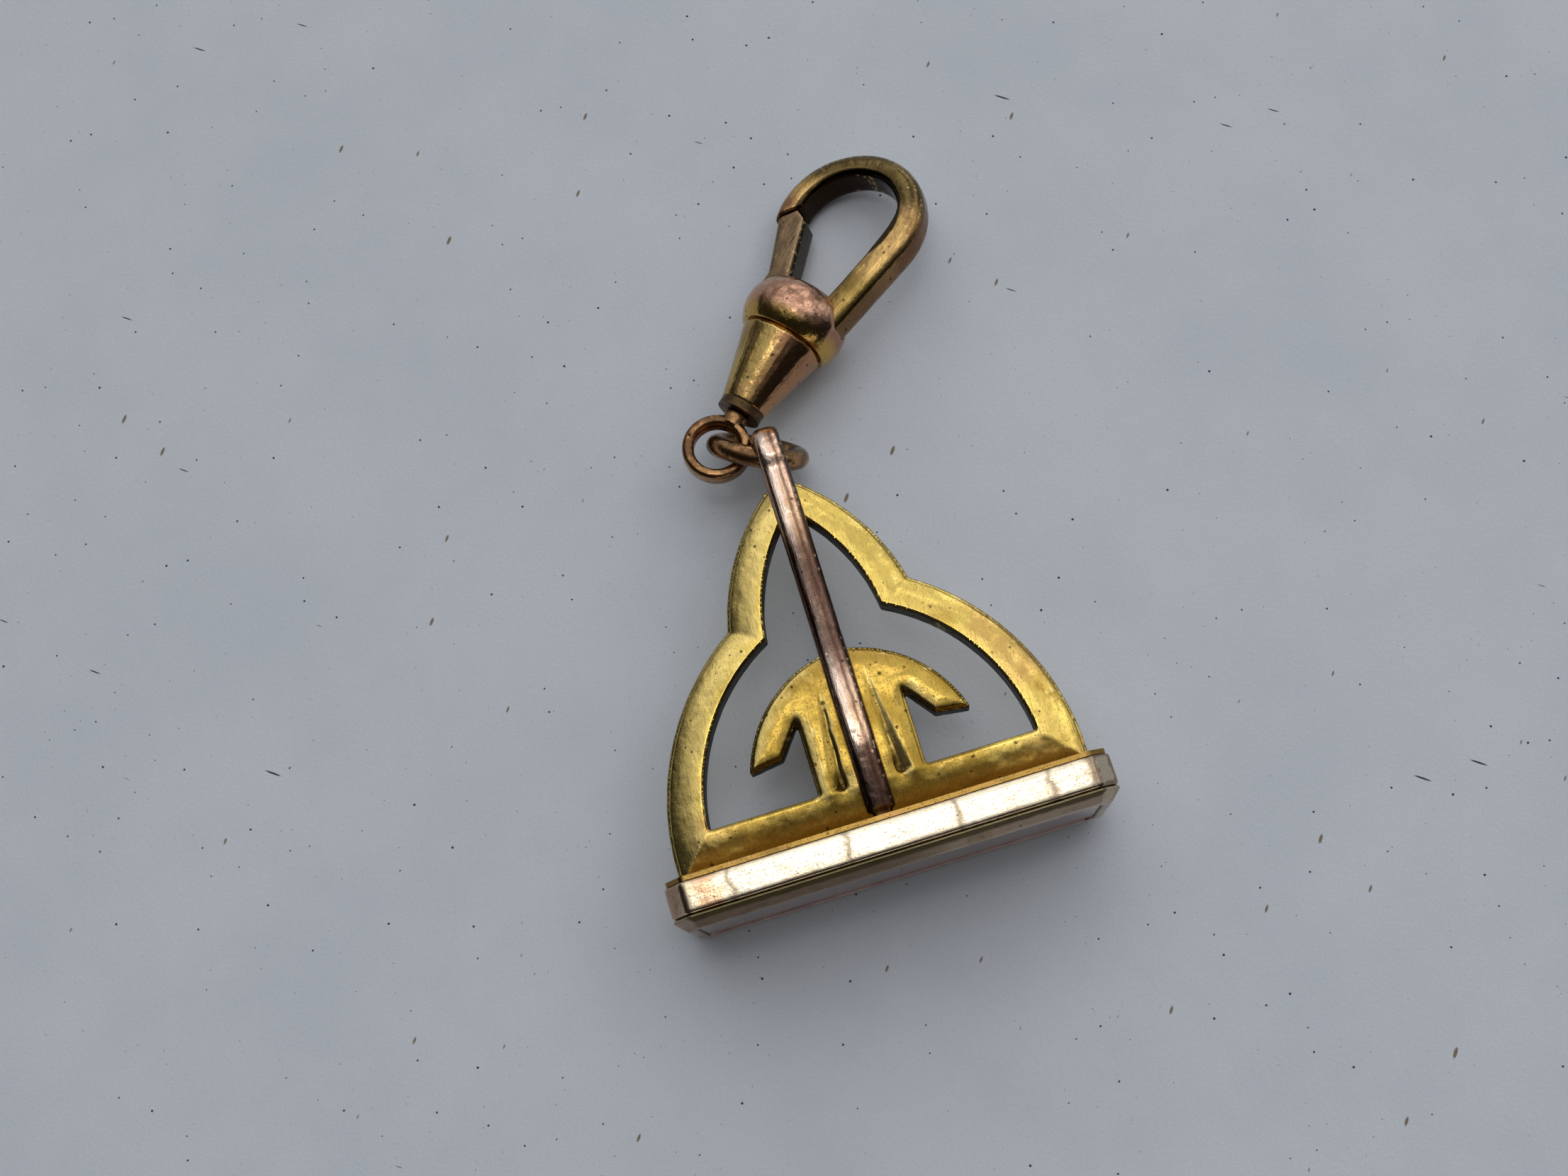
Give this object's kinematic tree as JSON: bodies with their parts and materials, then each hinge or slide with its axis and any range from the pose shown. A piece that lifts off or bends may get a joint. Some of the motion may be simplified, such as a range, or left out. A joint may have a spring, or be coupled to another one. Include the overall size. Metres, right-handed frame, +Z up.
{
  "type": "pocket watch fob",
  "caption": "Pocket watch fob: a pierced trefoil frame on a seal base, held by a strap with an eye, a jump ring and a swivel clip with a sprung gate.",
  "frame": {"origin": "centre of the long side wall of the base, which the fob lies on", "axes": "+Z up from the floor, +Y along the fob from the seal to the eye, +X along the base"},
  "size_m": [0.025, 0.0412, 0.009],
  "materials": {
    "base_band": "brushed pale gilt, worn",
    "top_sheet": "dull gilt sheet",
    "lip_gilt": "dark aged gilt",
    "seal_metal": "polished",
    "frame_gilt": "aged gilt, pitted",
    "yoke_gilt": "polished gilt, streaked",
    "ring_gilt": "worn reddish gilt wire",
    "eye_gilt": "worn reddish gilt",
    "barrel_gilt": "satin gilt, grimed",
    "collar_rose": "polished rose gilt",
    "hook_gilt": "polished gilt, worn to copper",
    "gate_gilt": "polished gilt, worn",
    "pin_metal": "dark rivet end",
    "spring_steel": "blued dark"
  },
  "bodies": {
    "fob": {"base_wall": "base_band", "base_top_plate": "top_sheet", "bezel_lip": "lip_gilt", "seal_plate": "seal_metal", "wide_frame": "frame_gilt", "yoke": "yoke_gilt"},
    "ring": {"jump_ring": "ring_gilt"},
    "eye": {"swivel_eye": "eye_gilt"},
    "clip": {"neck_washer": "eye_gilt", "barrel": "barrel_gilt", "collar": "collar_rose", "hook": "hook_gilt", "gate_pin": "pin_metal", "gate_spring": "spring_steel"},
    "gate": {"gate": "gate_gilt"}
  },
  "joints": [
    {"name": "ring_swing", "type": "hinge", "parent": "fob", "child": "ring", "pos_m": [0, 0.02219, 0.00486], "axis": [1, 0, 0], "range_deg": [-55, 55]},
    {"name": "eye_swing", "type": "hinge", "parent": "ring", "child": "eye", "pos_m": [-0.00279, 0.02403, 0.00383], "axis": [0.0578, 0.0554, 0.9968], "range_deg": [-10, 90]},
    {"name": "barrel_spin", "type": "hinge", "parent": "eye", "child": "clip", "pos_m": [0.0036, 0.03017, 0.00312], "axis": [0.7194, 0.6899, -0.0801], "continuous": true},
    {"name": "gate_hinge", "type": "hinge", "parent": "clip", "child": "gate", "pos_m": [0.00244, 0.03228, 0.00217], "axis": [0.1941, -0.3104, -0.9306], "range_deg": [0, 25], "stiffness_Nm_per_rad": 0.001, "springref_deg": -5.73}
  ]
}
